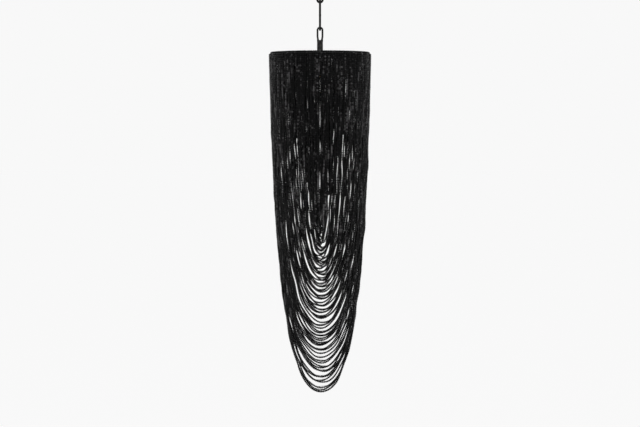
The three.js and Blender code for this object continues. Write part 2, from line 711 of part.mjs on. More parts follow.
function addLamp(nutLow) {
  const capTop = nutLow - seatGap;
  const capBottom = capTop - holderCapHeight;
  const hole = tubeDiameter / 2 + seatGap;
  const capRadius = holderDiameter / 2;
  const shoulder = capBottom + holderCapSkirt;
  const cap = turned(
    [
      [hole, capTop - holderCapWall],
      [holderCapNeck - holderCapWall / 2, capTop - holderCapWall],
      [capRadius - holderCapWall, shoulder - holderCapWall / 2],
      [capRadius - holderCapWall, capBottom],
      [capRadius, capBottom],
      [capRadius, shoulder],
      [holderCapNeck, capTop],
      [hole, capTop],
      [hole, capTop - holderCapWall],
    ],
  );
  addPiece("lampholder_cap", cap, finishes.phenolic);

  const barrelTop = capBottom - seatGap;
  const barrelBottom = barrelTop - holderBarrelHeight;
  const bore = capRadius - holderBarrelWall;
  const flangeTop = barrelBottom + holderFlangeHeight;
  const barrel = turned(
    [
      [bore, barrelBottom],
      [holderFlangeDiameter / 2, barrelBottom],
      [holderFlangeDiameter / 2, flangeTop],
      [capRadius, flangeTop],
      [capRadius, barrelTop],
      [bore, barrelTop],
      [bore, barrelBottom],
    ],
  );
  addPiece("lampholder_barrel", barrel, finishes.phenolic);
  const ringLow = flangeTop + seatGap;
  addPiece(
    "lampholder_shade_ring",
    sleeve(capRadius + seatGap, shadeRingDiameter / 2, ringLow, ringLow + shadeRingHeight),
    finishes.phenolic,
  );

  const insertTop = barrelTop - holderInsertSeat;
  const insertBottom = insertTop - holderInsertHeight;
  const insert = upright(bore - seatGap, insertBottom, insertTop, roundSides);
  addPiece("lampholder_insert", insert, finishes.ceramic);
  const shellTop = insertBottom - seatGap;
  const shellRadius = screwShellDiameter / 2;
  addPiece(
    "lampholder_screw_shell",
    sleeve(shellRadius - screwShellWall, shellRadius, shellTop - screwShellHeight, shellTop),
    finishes.brass,
  );
  addPiece(
    "lampholder_contact",
    block(contactWidth, contactWidth, contactHeight, 0, 0, shellTop - contactHeight / 2),
    finishes.brass,
  );

  const bulbTop = shellTop - contactHeight - seatGap;
  const tipBottom = bulbTop - bulbTipHeight;
  addPiece("bulb_tip_contact", upright(bulbTipDiameter / 2, tipBottom, bulbTop), finishes.brass);
  const bulbCapTop = tipBottom - seatGap;
  const bulbCapBottom = bulbCapTop - bulbCapHeight;
  const capOuter = bulbCapDiameter / 2;
  const capInner = capOuter - bulbCapWall;
  const bulbCap = turned(
    [
      [0, bulbCapTop - bulbCapWall],
      [bulbTipDiameter / 2, bulbCapTop - bulbCapWall],
      [capInner, bulbCapTop - bulbCapShoulder],
      [capInner, bulbCapBottom],
      [capOuter, bulbCapBottom],
      [capOuter, bulbCapTop - bulbCapShoulder],
      [bulbTipDiameter / 2, bulbCapTop],
      [0, bulbCapTop],
    ],
  );
  addPiece("bulb_cap", bulbCap, finishes.brass);

  const glassTop = bulbCapBottom + bulbCapOverGlass;
  const glassBottom = bulbTop - bulbLength;
  const globe = bulbDiameter / 2;
  const neck = bulbNeck / 2;
  const globeZ = glassBottom + globe;
  const outerGlass = [];
  const innerGlass = [];
  for (let step = 0; step <= globeSteps; step += 1) {
    const angle = -Math.PI / 2 + (step * globeSweep) / globeSteps;
    outerGlass.push([globe * Math.cos(angle), globeZ + globe * Math.sin(angle)]);
    const inside = globe - bulbGlassWall;
    innerGlass.push([inside * Math.cos(angle), globeZ + inside * Math.sin(angle)]);
  }
  const neckLow = bulbCapBottom - bulbCapOverGlass;
  outerGlass.push([neck, neckLow], [neck, glassTop]);
  innerGlass.push([neck - bulbGlassWall, neckLow], [neck - bulbGlassWall, glassTop]);
  outerGlass[0][0] = 0;
  innerGlass[0][0] = 0;
  addPiece("bulb_glass", turned([...outerGlass, ...innerGlass.reverse()]), finishes.glass);

  const stemTop = glassTop - seatGap;
  const stemFoot = stemTop - stemLength;
  const flange = neck - bulbGlassWall - seatGap;
  const stem = turned(
    [
      [0, stemFoot],
      [stemDiameter / 2, stemFoot],
      [stemDiameter / 2, stemTop - stemFlangeHeight - stemConeHeight],
      [flange, stemTop - stemFlangeHeight],
      [flange, stemTop],
      [0, stemTop],
    ],
    tubeSides,
  );
  addPiece("bulb_stem", stem, finishes.glass);

  // The filament is one bent wire that zigzags round the stem's axis from a spoke under the stem's foot.
  const filamentTop = stemFoot - seatGap - filamentWire / 2;
  const route = [new THREE.Vector3(0, 0, filamentTop)];
  for (let bend = 1; bend < filamentBends; bend += 1) {
    const angle = (2 * Math.PI * bend) / filamentBends;
    const z = filamentTop - (bend % 2 ? 0 : filamentDrop);
    route.push(new THREE.Vector3(filamentRadius * Math.cos(angle), filamentRadius * Math.sin(angle), z));
  }
  addPiece("bulb_filament", sweep(route, roundSection(filamentWire, filamentSides)), finishes.filament);
}

addRose();
addChain();
addLamp(addFrame());
addStrands();

export default chandelier;
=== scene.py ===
"""The looks of a beaded chandelier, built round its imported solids.

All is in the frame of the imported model: +Z is up, and the origin lies on the ceiling. Meshes, the studio and
matrices are in metres. All other sizes, heights and points are in millimetres.
"""

import logging
from collections.abc import Callable, Sequence
from dataclasses import dataclass, field
from enum import Enum
from math import asin, atan, atan2, cos, cosh, exp, hypot, pi, radians, sin, sinh, sqrt

import bmesh
import bpy
import numpy as np
from mathutils import Matrix, Vector


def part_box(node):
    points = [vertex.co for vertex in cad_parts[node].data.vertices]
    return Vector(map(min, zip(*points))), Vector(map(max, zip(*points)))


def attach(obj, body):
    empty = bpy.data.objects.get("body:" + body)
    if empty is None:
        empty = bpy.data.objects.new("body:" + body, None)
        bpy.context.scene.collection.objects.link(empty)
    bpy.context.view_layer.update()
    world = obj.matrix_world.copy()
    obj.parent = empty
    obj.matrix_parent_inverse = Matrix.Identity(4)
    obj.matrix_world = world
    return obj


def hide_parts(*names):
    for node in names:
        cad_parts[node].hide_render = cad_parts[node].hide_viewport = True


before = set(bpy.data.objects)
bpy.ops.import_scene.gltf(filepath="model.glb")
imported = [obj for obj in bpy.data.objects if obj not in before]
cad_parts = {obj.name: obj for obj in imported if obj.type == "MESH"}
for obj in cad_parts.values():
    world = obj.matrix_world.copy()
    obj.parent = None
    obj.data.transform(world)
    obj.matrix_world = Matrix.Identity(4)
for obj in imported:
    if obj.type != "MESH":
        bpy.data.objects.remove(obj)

log = logging.getLogger("chandelier")

MM = 0.001
QUARTER = pi / 2
X_AXIS = Vector((1, 0, 0))
Y_AXIS = Vector((0, 1, 0))
UP = Vector((0, 0, 1))
UP_ROW = np.array([0.0, 0.0, 1.0])
ROD_HOLE = 10.6
BAR_DIAMETER = 8.0
ARM_DIAMETER = 5.0
GAP = 0.3
Colour = tuple[float, float, float]
Socket = bpy.types.NodeSocket
Shape = bmesh.types.BMesh


class Pattern(Enum):
    """How a finish varies over its surface."""

    BEADS = "beads"
    COATED = "coated"
    DRAWN = "drawn"
    MOULDED = "moulded"
    CLEAR = "clear"


@dataclass(frozen=True)
class StrandSet:
    """How one set of strands hangs. Sags are under the ring's level."""

    axis: int
    outward: int
    elevation: float
    sag: float
    edge_sag: float

    def sag_at(self, share: float) -> float:
        """The sag at a share of the way from the middle strand to the edge."""
        return self.sag - (self.sag - self.edge_sag) * share

    def ring_angle(self, turn: float) -> float:
        """The ring's angle at a turn."""
        return turn if self.axis == 0 else QUARTER - turn


LONG = StrandSet(0, 1, radians(70), 1018.0, 504.0)
CROSS = StrandSet(1, -1, radians(40), 516.0, 34.0)
CROSS_SHARES = (0.6, -0.5, 0.3, -0.8, 0.1, -0.2)


class Side(Enum):
    """The half of the ring that a run of groups starts from, and how unevenly its strands hang."""

    BACK = ("long_strands_back", LONG, 0.0, (-0.2, -0.6, -0.1, -0.4, 0.4, 0.1, 0.8),
            (0, 0.3, -0.3, 0.4, -0.2, 0.1))
    FRONT = ("long_strands_front", LONG, pi, (-0.8, -0.3, -0.7, 0.2, 0, 0.6, 0.5),
             (0.1, -0.4, 0.2, -0.3, 0.3, -0.1))
    RIGHT = ("cross_strands_right", CROSS, 0.0, CROSS_SHARES)
    LEFT = ("cross_strands_left", CROSS, pi, CROSS_SHARES)

    def __init__(self, stem: str, kind: StrandSet, turn: float, shares: tuple[float, ...],
                 group_shares: tuple[float, ...] = (0, 0, 0, 0)) -> None:
        """Keeps the stem of the nodes' names, the set, the turn and the shares of each strand and group."""
        self.stem = stem
        self.kind = kind
        self.turn = turn
        self.shares = shares
        self.group_shares = group_shares


@dataclass(frozen=True)
class Finish:
    """The numbers of one finish. Colours are linear, grain is in waves per metre and bump in metres."""

    title: str
    slot: str
    pattern: Pattern
    colour: Colour
    other_colour: Colour
    roughness: float
    roughness_spread: float
    grain: float
    bump: float
    metallic: float = 0.0
    coat: float = 0.0
    specular: float = 0.5
    transmission: float = 0.0
    wear_colour: Colour = (0.2, 0.2, 0.2)


# The bead's other colour is a painted glint: the per-bead tone blends a few beads and short runs of beads
# towards it, as if they caught the light.
BEAD = Finish("bead_black", "black_bead", Pattern.BEADS, (0.0012, 0.0012, 0.0014), (0.075, 0.073, 0.075),
              0.28, 0.2, 900.0, 0.00004, specular=0.1)
THREAD = Finish("thread_black", "black_bead", Pattern.MOULDED, (0.006, 0.006, 0.006), (0.012, 0.012, 0.012),
                0.8, 0.1, 2500.0, 0.00005, specular=0.1)
COATING = Finish("black_coating", "black_metal", Pattern.COATED, (0.004, 0.004, 0.0043),
                 (0.009, 0.0088, 0.0086), 0.42, 0.16, 1400.0, 0.00003, specular=0.14,
                 wear_colour=(0.06, 0.058, 0.055))
ZINC = Finish("zinc_steel", "zinc_steel", Pattern.DRAWN, (0.47, 0.48, 0.49), (0.33, 0.34, 0.36),
              0.34, 0.2, 260.0, 0.00002, metallic=1.0)
BRASS = Finish("plain_brass", "brass", Pattern.DRAWN, (0.60, 0.41, 0.15), (0.42, 0.27, 0.09),
               0.28, 0.18, 300.0, 0.00002, metallic=1.0)
PHENOLIC = Finish("black_phenolic", "black_phenolic", Pattern.MOULDED, (0.010, 0.009, 0.0085),
                  (0.022, 0.019, 0.017), 0.34, 0.14, 700.0, 0.00002, coat=0.15)
TERMINAL = Finish("terminal_plastic", "terminal_plastic", Pattern.MOULDED, (0.62, 0.61, 0.57),
                  (0.52, 0.50, 0.45), 0.5, 0.12, 500.0, 0.00002)
PORCELAIN = Finish("porcelain", "ceramic", Pattern.MOULDED, (0.72, 0.69, 0.63), (0.60, 0.56, 0.49),
                   0.45, 0.15, 900.0, 0.00004)
GLASS = Finish("clear_glass", "clear_glass", Pattern.CLEAR, (0.96, 0.96, 0.95), (0.90, 0.90, 0.88),
               0.02, 0.06, 60.0, 0.0, transmission=1.0)
PHOSPHOR = Finish("phosphor", "filament", Pattern.MOULDED, (0.74, 0.47, 0.10), (0.58, 0.33, 0.05),
                  0.6, 0.1, 1500.0, 0.00002)


def math_node(operation: str, turned_round: bool = False) -> "Callable[[Value, Value | float], Value]":
    """Makes an operator's method, which adds a Math node.

    Args:
        operation: The node's operation.
        turned_round: Whether the other operand comes first.

    Returns:
        The method.
    """

    def method(self: "Value", other: "Value | float") -> "Value":
        """The operation on two numbers."""
        first, second = (other, self) if turned_round else (self, other)
        node = self.nodes.add("Math", {0: first, 1: second}, operation=operation)
        return Value(self.nodes, node.outputs[0])

    return method


@dataclass
class Value:
    """A number in a material's nodes. An expression on values adds its Math nodes."""

    nodes: "Nodes"
    socket: Socket

    __add__ = __radd__ = math_node("ADD")
    __mul__ = __rmul__ = math_node("MULTIPLY")
    __sub__ = math_node("SUBTRACT")
    __rsub__ = math_node("SUBTRACT", turned_round=True)
    __gt__ = math_node("GREATER_THAN")


class Nodes:
    """The nodes of one material or world, emptied first."""

    def __init__(self, owner: "bpy.types.Material | bpy.types.World") -> None:
        """Turns nodes on and removes those that are there."""
        owner.use_nodes = True
        self.tree = owner.node_tree
        self.tree.nodes.clear()

    def add(self, kind: str, sockets: dict, **settings: str) -> bpy.types.Node:
        """Adds one node.

        Args:
            kind: The node's type, after the word ShaderNode.
            sockets: A value, a Value or an output socket for each input, by name or number.
            settings: The node's own properties, set before its sockets.

        Returns:
            The node.
        """
        node = self.tree.nodes.new(f"ShaderNode{kind}")
        for name, setting in settings.items():
            setattr(node, name, setting)
        for name, given in sockets.items():
            if isinstance(given, Value):
                given = given.socket
            if isinstance(given, Socket):
                self.tree.links.new(given, node.inputs[name])
            else:
                node.inputs[name].default_value = given
        return node

    def noise(self, where: Socket, scale: float, detail: float = 2.0) -> Value:
        """A noise from 0 to 1 at a scale in waves per metre."""
        node = self.add("TexNoise", {"Vector": where, "Scale": scale, "Detail": detail})
        return Value(self, node.outputs[0])

    def mix(self, factor: Value, low: Colour | Socket, high: Colour) -> Socket:
        """Blends two colours.

        Args:
            factor: Where the second colour shows.
            low: The first colour, or a socket that gives it.
            high: The second colour.

        Returns:
            The socket of the blended colour.
        """
        start = low if isinstance(low, Socket) else (*low, 1.0)
        node = self.add("Mix", {0: factor, 6: start, 7: (*high, 1.0)}, data_type="RGBA")
        return node.outputs[2]


@dataclass
class Paints:
    """Makes each finish's material once. A coarseness is how many times wider than the grain a noise is."""

    cloud_coarseness: float = 14.0
    cloud_share: float = 0.6
    brushing: Colour = (12.0, 12.0, 0.6)
    scuff_coarseness: float = 5.0
    scuff_detail: float = 4.0
    scuff_level: float = 0.55
    scuff_cover: float = 0.7
    scuff_roughness: float = 0.1
    bump_strength: float = 0.6
    made: dict[str, bpy.types.Material] = field(default_factory=dict)

    def of(self, finish: Finish) -> bpy.types.Material:
        """The material of a finish."""
        if finish.title not in self.made:
            self.made[finish.title] = self._make(finish)
        return self.made[finish.title]

    def _make(self, finish: Finish) -> bpy.types.Material:
        """Builds one finish's nodes.

        Args:
            finish: The finish.

        Returns:
            Its new material.
        """
        material = bpy.data.materials.new(finish.title)
        nodes = Nodes(material)
        place = nodes.add("TexCoord", {}).outputs["Object"]
        fine = nodes.noise(place, finish.grain)
        cloudy = nodes.noise(place, finish.grain / self.cloud_coarseness)
        fine_share = 1 - self.cloud_share
        spread = cloudy
        if finish.pattern is Pattern.BEADS:
            # The bead tone is partly random and partly a painted glint on a few beads and short runs of beads.
            tone = nodes.add("Attribute", {}, attribute_name="bead_tone_and_glint")
            spread = Value(nodes, tone.outputs["Fac"])
        elif finish.pattern is Pattern.DRAWN:
            squeeze = nodes.add("Mapping", {"Vector": place, "Scale": self.brushing})
            spread = nodes.noise(squeeze.outputs[0], finish.grain)
        elif finish.pattern is Pattern.MOULDED:
            spread = cloudy * self.cloud_share + fine * fine_share
        colour = nodes.mix(spread, finish.colour, finish.other_colour)
        uneven = spread * self.cloud_share + fine * fine_share - 0.5
        roughness = uneven * finish.roughness_spread + finish.roughness
        if finish.pattern is Pattern.COATED:
            wear = nodes.add("Attribute", {}, attribute_name="wear")
            patches = nodes.noise(place, finish.grain / self.scuff_coarseness, self.scuff_detail)
            scuffs = Value(nodes, wear.outputs["Fac"]) * (patches > self.scuff_level)
            colour = nodes.mix(scuffs * self.scuff_cover, colour, finish.wear_colour)
            roughness = roughness + scuffs * self.scuff_roughness
        shader = nodes.add("BsdfPrincipled", {
            "Base Color": colour,
            "Roughness": roughness,
            "Metallic": finish.metallic,
            "Coat Weight": finish.coat,
            "Specular IOR Level": finish.specular,
            "Transmission Weight": finish.transmission,
        })
        if finish.bump:
            height = {"Strength": self.bump_strength, "Distance": finish.bump, "Height": fine}
            bump = nodes.add("Bump", height)
            nodes.tree.links.new(bump.outputs[0], shader.inputs["Normal"])
        nodes.add("OutputMaterial", {"Surface": shader.outputs[0]})
        return material


def placed(name: str, data: bpy.types.ID) -> bpy.types.Object:
    """Puts new data into the scene as an object at the origin."""
    thing = bpy.data.objects.new(name, data)
    bpy.context.scene.collection.objects.link(thing)
    return thing


def mesh_of(name: str, shape: Shape) -> bpy.types.Mesh:
    """Writes a bmesh into a new mesh and frees it."""
    mesh = bpy.data.meshes.new(name)
    shape.to_mesh(mesh)
    shape.free()
    return mesh


@dataclass
class Workshop:
    """Turns finished bmeshes into pieces that ride on a body and stand for CAD nodes."""

    paints: Paints
    wear_from: float = 0.3
    wear_gain: float = 2.2

    def show(self, name: str, mesh: bpy.types.Mesh, body: str, finish: Finish, *stands_for: str) -> None:
        """Adds one piece to the scene.

        Args:
            name: The piece's name.
            mesh: Its mesh, in place.
            body: The body that it rides on.
            finish: Its finish.
            stands_for: The CAD nodes that it replaces, if any.
        """
        piece = placed(name, mesh)
        mesh.materials.append(self.paints.of(finish))
        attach(piece, body)
        if stands_for:
            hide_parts(*stands_for)
        log.info("%s: %d faces", name, len(mesh.polygons))

    def finish(self, name: str, shape: Shape, body: str, finish: Finish, *stands_for: str,
               crease: float = 35.0) -> None:
        """Makes a bmesh a piece, smooth but for its creases, with its edges marked for wear.

        Args:
            name: The piece's name.
            shape: Its bmesh, in place, which is freed.
            body: The body that it rides on.
            finish: Its finish.
            stands_for: The CAD nodes that it replaces.
            crease: The angle in degrees from which an edge stays sharp.
        """
        wear = shape.verts.layers.float.new("wear")
        for face in shape.faces:
            face.smooth = True
        for edge in shape.edges:
            if len(edge.link_faces) == 2:
                angle = edge.calc_face_angle_signed(0.0)
                edge.smooth = abs(angle) < radians(crease)
                worn = min(1.0, max(0.0, angle - self.wear_from) * self.wear_gain)
                for vert in edge.verts:
                    vert[wear] = max(vert[wear], worn)
        self.show(name, mesh_of(name, shape), body, finish, *stands_for)

    def dress(self, finish: Finish, *nodes: str) -> None:
        """Gives CAD nodes whose shape stays as it is their finish."""
        for node in nodes:
            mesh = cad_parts[node].data
            mesh.materials.clear()
            mesh.materials.append(self.paints.of(finish))


def turned(profile: list[tuple[float, float]], sides: int) -> Shape:
    """Turns an outline about the upright axis.

    Args:
        profile: Pairs of radius and height. The last point joins the first, unless both are on the axis.
        sides: The steps of the full turn.

    Returns:
        The closed shape.
    """
    shape = bmesh.new()
    verts = [shape.verts.new((radius * MM, 0, height * MM)) for radius, height in profile]
    edges = [shape.edges.new(pair) for pair in zip(verts, verts[1:])]
    if profile[0][0] > 0:
        edges.append(shape.edges.new((verts[-1], verts[0])))
    bmesh.ops.spin(shape, geom=verts + edges, cent=(0, 0, 0), axis=UP, angle=2 * pi, steps=sides,
                   use_merge=True)
    bmesh.ops.remove_doubles(shape, verts=shape.verts, dist=1e-7)
    bmesh.ops.recalc_face_normals(shape, faces=shape.faces)
    return shape


def swept(points: Sequence[Vector], radius: Callable[[int], float], sides: int, closed: bool) -> Shape:
    """Draws a round wire along points.

    Args:
        points: The wire's middle line.
        radius: The wire's radius at each point's number.
        sides: The facets of its section.
        closed: Whether its end joins its start.

    Returns:
        The closed shape.
    """
    shape = bmesh.new()
    beyond = [points[-1], *points, points[0]] if closed else [points[0], *points, points[-1]]
    normal = None
    before = Matrix.Identity(4)
    verts, edges = [], []
    for index, point in enumerate(points):
        along = (beyond[index + 2] - beyond[index]).normalized()
        if normal is None:
            normal = along.orthogonal().normalized()
        normal = (normal - along * normal.dot(along)).normalized()
        turn = Matrix((normal, along.cross(normal), along)).transposed().to_4x4()
        stand = Matrix.Translation(point * MM) @ turn @ Matrix.Scale(radius(index) * MM, 4)
        if not verts:
            verts = bmesh.ops.create_circle(shape, segments=sides, radius=1.0, matrix=stand)["verts"]
            edges = list(shape.edges)
        else:
            drawn = bmesh.ops.extrude_edge_only(shape, edges=edges)["geom"]
            verts = [item for item in drawn if isinstance(item, bmesh.types.BMVert)]
            fresh = set(verts)
            edges = [item for item in drawn
                     if isinstance(item, bmesh.types.BMEdge) and set(item.verts) <= fresh]
            bmesh.ops.transform(shape, matrix=stand @ before.inverted(), verts=verts)
        before = stand
    rims = [edge for edge in shape.edges if edge.is_boundary]
    if closed:
        bmesh.ops.bridge_loops(shape, edges=rims)
    else:
        bmesh.ops.holes_fill(shape, edges=rims, sides=sides)
    bmesh.ops.recalc_face_normals(shape, faces=shape.faces)
    return shape


def arc(centre: Vector, radius: float, start: float, end: float, steps: int, across: Vector, up: Vector
        ) -> list[Vector]:
    """Points of an arc from one angle to another in the plane of two directions."""
    angles = (start + (end - start) * step / steps for step in range(steps + 1))
    return [centre + across * (radius * cos(a)) + up * (radius * sin(a)) for a in angles]


def moved(shape: Shape, matrix: Matrix) -> Shape:
    """Moves a whole shape by a matrix in metres."""
    bmesh.ops.transform(shape, matrix=matrix, verts=shape.verts)
    return shape


def joined(first: Shape, second: Shape) -> Shape:
    """Puts a second shape into the first one's bmesh.

    Args:
        first: The shape that takes up the other.
        second: The other, which is freed.

    Returns:
        The first shape.
    """
    carrier = mesh_of("carrier", second)
    first.from_mesh(carrier)
    bpy.data.meshes.remove(carrier)
    return first


def grooved(shape: Shape, low: float, high: float, reach: float, depth: float,
            phase: Callable[[float, float], float]) -> None:
    """Presses grooves into a turned wall.

    Args:
        shape: The wall.
        low: The lowest height that they reach.
        high: The highest height.
        reach: The radius outside which points move.
        depth: The grooves' depth.
        phase: Gives the phase at an angle and a height. Each whole turn of it is a groove.
    """
    for vert in shape.verts:
        radius = hypot(vert.co.x, vert.co.y)
        if radius > reach * MM and low * MM < vert.co.z < high * MM:
            turn = phase(atan2(vert.co.y, vert.co.x), vert.co.z / MM)
            sink = depth * MM * (0.5 - 0.5 * cos(turn))
            vert.co.x *= 1 - sink / radius
            vert.co.y *= 1 - sink / radius


def eased(share: float) -> float:
    """A share from 0 to 1 that sets off and arrives gently."""
    return share * share * (3 - 2 * share)


def ends_of(node: str) -> tuple[float, float]:
    """The heights of a CAD node's bottom and top."""
    low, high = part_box(node)
    return low.z / MM, high.z / MM


def lifted(shape: Shape, height: float) -> Shape:
    """Moves a whole shape up by a height."""
    return moved(shape, Matrix.Translation((0, 0, height * MM)))


@dataclass
class Rose:
    """The ceiling rose: its cup, and the plate, bridge and terminal block that it hides."""

    shop: Workshop
    diameter: float = 110.0
    wall: float = 1.6
    corner: float = 10.0
    corner_steps: int = 12

    def build(self) -> None:
        """Makes the cup and dresses the pieces inside it."""
        outer = self.diameter / 2
        low, _ = ends_of("rose_cover")
        middle = outer - self.corner
        inner = self.corner - self.wall
        angles = [QUARTER * step / self.corner_steps for step in range(self.corner_steps + 1)]
        outside = [(middle + self.corner * sin(a), low + self.corner * (1 - cos(a))) for a in angles]
        inside = [(middle + inner * sin(a), low + self.wall + inner * (1 - cos(a))) for a in angles]
        lip = self.wall / 4
        rim = [(outer, -lip), (outer - lip, 0.0), (outer - self.wall + lip, 0.0), (outer - self.wall, -lip)]
        profile = [(ROD_HOLE / 2, low), *outside, *rim, *reversed(inside), (ROD_HOLE / 2, low + self.wall)]
        self.shop.finish("rose_cup", turned(profile, 128), "rose", COATING, "rose_cover")
        self.shop.dress(ZINC, "ceiling_plate", "rose_bridge", "bridge_screw_left", "bridge_screw_right",
                        "rose_nut_upper", "rose_nut_lower", "rose_threaded_tube")
        self.shop.dress(TERMINAL, "terminal_block")
        self.shop.dress(BRASS, "terminal_screw_1", "terminal_screw_2", "terminal_screw_3")


@dataclass
class Chain:
    """The welded links and the two collars whose wire loops they hang in."""

    shop: Workshop
    wire: float = 6.5
    loop_wire: float = 5.5
    inner_width: float = 9.0
    inner_length: float = 80.0
    weld_bulge: float = 0.42
    weld_width: float = 1.8
    weld_rows: tuple[float, ...] = (-6, -4, -3, -2, -1, 0, 1, 2, 3, 4, 6)
    wire_sides: int = 16
    bend_steps: int = 20
    links: int = 4
    rose_collar: float = 24.0
    pendant_collar: float = 41.0
    collar_diameter: float = 17.4
    collar_edge: float = 1.2
    collar_top_wall: float = 6.0
    groove: float = 0.35
    groove_shares: tuple[float, ...] = (0.78, 0.22)
    groove_width: float = 2.0
    groove_floor: float = 1.2
    wireway: float = 7.0
    foot_spacing: float = 11.8
    foot_depth: float = 4.0
    foot_reach: float = 0.4
    foot_fillet: float = 0.4
    fillet_reach: float = 1.3
    loop_height: float = 39.0

    def link(self, index: int) -> None:
        """Makes one link, whose weld swells the middle of one side.

        Args:
            index: Its number from the top, from 1. The odd ones lie in XZ.
        """
        name = f"chain_link_{index}"
        middle = sum(ends_of(name)) / 2
        bend = (self.inner_width + self.wire) / 2
        straight = (self.inner_length - self.inner_width) / 2
        across = X_AXIS if index % 2 else Y_AXIS
        levels = (-straight, -straight / 2, *self.weld_rows, straight / 2)
        points = [across * bend + UP * level for level in levels]
        points += arc(UP * straight, bend, 0, pi, self.bend_steps, across, UP)
        points += [across * -bend + UP * (straight * (1 - step / 4)) for step in range(1, 8)]
        points += arc(UP * -straight, bend, pi, 2 * pi, self.bend_steps, across, UP)[:-1]

        def radius(number: int) -> float:
            """The wire's radius, fuller at the weld."""
            if number >= len(levels):
                return self.wire / 2
            return self.wire / 2 + self.weld_bulge * exp(-(levels[number] / self.weld_width) ** 2)

        shape = swept([point + UP * middle for point in points], radius, self.wire_sides, True)
        self.shop.finish(f"link_{index}_wire", shape, f"link_{index}", COATING, name)

    def collar(self, height: float) -> Shape:
        """A collar with its wire loop.

        Args:
            height: The collar's height.

        Returns:
            The shape, upright on height 0, with the loop in XZ.
        """
        outer, edge = self.collar_diameter / 2, self.collar_edge
        wide, narrow = self.groove_width / 2, self.groove_floor / 2
        top = height - self.collar_top_wall
        profile = [(self.wireway / 2, top), (self.wireway / 2, height), (outer - edge, height)]
        profile += [(outer - edge * (1 - sin(a)), height - edge * (1 - cos(a))) for a in (0.4, 0.8, 1.2)]
        for share in self.groove_shares:
            level = height * share
            profile += [(outer, level + wide), (outer - self.groove, level + narrow)]
            profile += [(outer - self.groove, level - narrow), (outer, level - wide)]
        profile += [(outer, edge), (outer - edge * 0.4, edge * 0.3), (outer - edge, 0.0)]
        profile += [(ROD_HOLE / 2, 0.0), (ROD_HOLE / 2, top)]
        shape = turned(profile, 64)
        bend = (self.inner_width + self.loop_wire) / 2
        foot, shoulder = self.foot_spacing / 2, height + self.loop_height - self.loop_wire / 2 - bend
        right = []
        for step in range(15):
            z = height - self.foot_depth + (shoulder - height + self.foot_depth) * step / 14
            share = min(1.0, max(0.0, (z - height) / ((shoulder - height) * self.foot_reach)))
            right.append(Vector((foot + (bend - foot) * eased(share), 0, z)))
        crown = arc(UP * shoulder, bend, 0, pi, 24, X_AXIS, UP)
        left = [Vector((-point.x, 0, point.z)) for point in reversed(right)]
        points = [*right, *crown[1:-1], *left]

        def radius(number: int) -> float:
            """The wire's radius, with a fillet where it meets the collar."""
            above = max(0.0, points[number].z - height)
            return self.loop_wire / 2 + self.foot_fillet * exp(-above / self.fillet_reach)

        return joined(shape, swept(points, radius, self.wire_sides, False))

    def build(self) -> None:
        """Makes the collars and all links."""
        turn = Matrix.Rotation(QUARTER, 4, "Z") @ Matrix.Rotation(pi, 4, "X")
        upper = lifted(moved(self.collar(self.rose_collar), turn), ends_of("rose_loop")[1])
        self.shop.finish("rose_collar_loop", upper, "rose", COATING, "rose_loop")
        for index in range(1, self.links + 1):
            self.link(index)
        lower = lifted(self.collar(self.pendant_collar), ends_of("pendant_loop")[0])
        self.shop.finish("pendant_collar_loop", lower, "pendant", COATING, "pendant_loop")


@dataclass
class Spider:
    """The hub, the four arms and the ring bar that carry the strands."""

    shop: Workshop
    bar_radius: float
    ring_z: float
    hub_diameter: float = 36.0
    hub_thickness: float = 6.0
    hub_edge: float = 1.0
    hub_corner: float = 0.3
    arm_steps: int = 12

    def build(self) -> None:
        """Makes the hub, the arms and the ring bar."""
        outer, half = self.hub_diameter / 2, self.hub_thickness / 2
        edge, corner = self.hub_edge, self.hub_corner
        side = [(outer - edge, half), (outer - corner, half - corner), (outer, half - edge)]
        profile = [(ROD_HOLE / 2, -half), *((radius, -z) for radius, z in side), *reversed(side),
                   (ROD_HOLE / 2, half)]
        disc = lifted(turned(profile, 96), self.ring_z)
        self.shop.finish("hub_disc", disc, "pendant", COATING, "spider_hub")
        start = outer + GAP
        end = self.bar_radius - BAR_DIAMETER / 2 - GAP
        radius = ARM_DIAMETER / 2
        for number, side in enumerate(("back_right", "back_left", "front_left", "front_right")):
            along = Matrix.Rotation(QUARTER * (number + 0.5), 3, "Z") @ X_AXIS
            points = [along * (start + (end - start) * step / self.arm_steps) + UP * self.ring_z
                      for step in range(self.arm_steps + 1)]
            rod = swept(points, lambda _: radius, 20, False)
            self.shop.finish(f"arm_rod_{side}", rod, "pendant", COATING, f"spider_arm_{side}")
        circle = arc(UP * self.ring_z, self.bar_radius, 0, 2 * pi, 160, X_AXIS, Y_AXIS)[:-1]
        hoop = swept(circle, lambda _: BAR_DIAMETER / 2, 16, True)
        self.shop.finish("ring_hoop", hoop, "pendant", COATING, "ring_bar")
        self.shop.dress(ZINC, "hub_nut", "pendant_threaded_tube")


